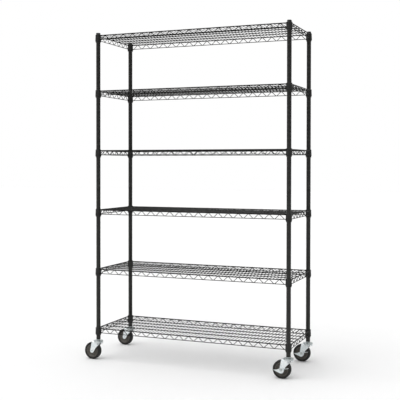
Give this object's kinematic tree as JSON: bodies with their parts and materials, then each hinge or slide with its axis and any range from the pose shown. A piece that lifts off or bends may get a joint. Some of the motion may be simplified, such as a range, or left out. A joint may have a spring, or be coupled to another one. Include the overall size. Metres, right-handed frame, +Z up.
{
  "type": "wire shelving rack",
  "caption": "Tall open rack of welded wire shelves on grooved round posts, each shelf seated on split sleeves, rolling on swivel casters of which the pair at one end has brakes.",
  "frame": {"origin": "on the floor, midway between the middles of the four posts", "axes": "+X along the shelves towards the end with the braked casters, -Y the front, +Z up"},
  "size_m": [1.296, 0.4799, 1.9558],
  "materials": {
    "post_coat": "satin black-grey powder coat",
    "wire_coat": "satin black-grey powder coat over welded wire",
    "black_plastic": "matte moulded",
    "zinc_steel": "bright zinc plate",
    "ball_steel": "polished",
    "hub_plastic": "matte moulded",
    "rubber": "matte rubber"
  },
  "bodies": {
    "root": {"post_lower_fl": "post_coat", "post_lower_fr": "post_coat", "post_lower_rl": "post_coat", "post_lower_rr": "post_coat", "post_upper_fl": "post_coat", "post_upper_fr": "post_coat", "post_upper_rl": "post_coat", "post_upper_rr": "post_coat", "post_joint_studs": "zinc_steel", "post_joint_inserts": "zinc_steel", "post_foot_inserts": "zinc_steel", "post_caps": "black_plastic", "sleeves_1": "black_plastic", "sleeves_2": "black_plastic", "sleeves_3": "black_plastic", "sleeves_4": "black_plastic", "sleeves_5": "black_plastic", "sleeves_6": "black_plastic", "caster_stems": "zinc_steel", "caster_races": "zinc_steel", "caster_balls": "ball_steel"},
    "shelf_1": {"shelf_1_frame": "wire_coat", "shelf_1_deck": "wire_coat", "shelf_1_collars": "wire_coat"},
    "shelf_2": {"shelf_2_frame": "wire_coat", "shelf_2_deck": "wire_coat", "shelf_2_collars": "wire_coat"},
    "shelf_3": {"shelf_3_frame": "wire_coat", "shelf_3_deck": "wire_coat", "shelf_3_collars": "wire_coat"},
    "shelf_4": {"shelf_4_frame": "wire_coat", "shelf_4_deck": "wire_coat", "shelf_4_collars": "wire_coat"},
    "shelf_5": {"shelf_5_frame": "wire_coat", "shelf_5_deck": "wire_coat", "shelf_5_collars": "wire_coat"},
    "shelf_6": {"shelf_6_frame": "wire_coat", "shelf_6_deck": "wire_coat", "shelf_6_collars": "wire_coat"},
    "caster_fl": {"fork_fl": "zinc_steel", "axle_fl": "zinc_steel"},
    "wheel_fl": {"wheel_hub_fl": "hub_plastic", "tyre_fl": "rubber"},
    "caster_fr": {"fork_fr": "zinc_steel", "axle_fr": "zinc_steel"},
    "wheel_fr": {"wheel_hub_fr": "hub_plastic", "tyre_fr": "rubber"},
    "caster_rl": {"fork_rl": "zinc_steel", "axle_rl": "zinc_steel"},
    "wheel_rl": {"wheel_hub_rl": "hub_plastic", "tyre_rl": "rubber"},
    "caster_rr": {"fork_rr": "zinc_steel", "axle_rr": "zinc_steel"},
    "wheel_rr": {"wheel_hub_rr": "hub_plastic", "tyre_rr": "rubber"},
    "brake_fr": {"brake_lever_fr": "zinc_steel"},
    "brake_rr": {"brake_lever_rr": "zinc_steel"}
  },
  "joints": [
    {"name": "shelf_1_lift", "type": "slide", "parent": "root", "child": "shelf_1", "axis": [0, 0, 1], "range_m": [0, 0.308]},
    {"name": "shelf_2_lift", "type": "slide", "parent": "root", "child": "shelf_2", "axis": [0, 0, 1], "range_m": [0, 0.308]},
    {"name": "shelf_3_lift", "type": "slide", "parent": "root", "child": "shelf_3", "axis": [0, 0, 1], "range_m": [0, 0.308]},
    {"name": "shelf_4_lift", "type": "slide", "parent": "root", "child": "shelf_4", "axis": [0, 0, 1], "range_m": [0, 0.308]},
    {"name": "shelf_5_lift", "type": "slide", "parent": "root", "child": "shelf_5", "axis": [0, 0, 1], "range_m": [0, 0.282]},
    {"name": "shelf_6_lift", "type": "slide", "parent": "root", "child": "shelf_6", "axis": [0, 0, 1], "range_m": [0, 0.06]},
    {"name": "caster_fl_swivel", "type": "hinge", "parent": "root", "child": "caster_fl", "pos_m": [-0.5906, -0.2096, 0.1059], "axis": [0, 0, 1], "continuous": true},
    {"name": "wheel_fl_roll", "type": "hinge", "parent": "caster_fl", "child": "wheel_fl", "pos_m": [-0.6266, -0.2096, 0.0508], "axis": [0, 1, 0], "continuous": true},
    {"name": "caster_fr_swivel", "type": "hinge", "parent": "root", "child": "caster_fr", "pos_m": [0.5906, -0.2096, 0.1059], "axis": [0, 0, 1], "continuous": true},
    {"name": "wheel_fr_roll", "type": "hinge", "parent": "caster_fr", "child": "wheel_fr", "pos_m": [0.5546, -0.2096, 0.0508], "axis": [0, 1, 0], "continuous": true},
    {"name": "caster_rl_swivel", "type": "hinge", "parent": "root", "child": "caster_rl", "pos_m": [-0.5906, 0.2096, 0.1059], "axis": [0, 0, 1], "continuous": true},
    {"name": "wheel_rl_roll", "type": "hinge", "parent": "caster_rl", "child": "wheel_rl", "pos_m": [-0.6266, 0.2096, 0.0508], "axis": [0, 1, 0], "continuous": true},
    {"name": "caster_rr_swivel", "type": "hinge", "parent": "root", "child": "caster_rr", "pos_m": [0.5906, 0.2096, 0.1059], "axis": [0, 0, 1], "continuous": true},
    {"name": "wheel_rr_roll", "type": "hinge", "parent": "caster_rr", "child": "wheel_rr", "pos_m": [0.5546, 0.2096, 0.0508], "axis": [0, 1, 0], "continuous": true},
    {"name": "brake_fr_press", "type": "hinge", "parent": "caster_fr", "child": "brake_fr", "pos_m": [0.5546, -0.2096, 0.0508], "axis": [0, 1, 0], "range_deg": [-18, 0]},
    {"name": "brake_rr_press", "type": "hinge", "parent": "caster_rr", "child": "brake_rr", "pos_m": [0.5546, 0.2096, 0.0508], "axis": [0, 1, 0], "range_deg": [-18, 0]}
  ]
}
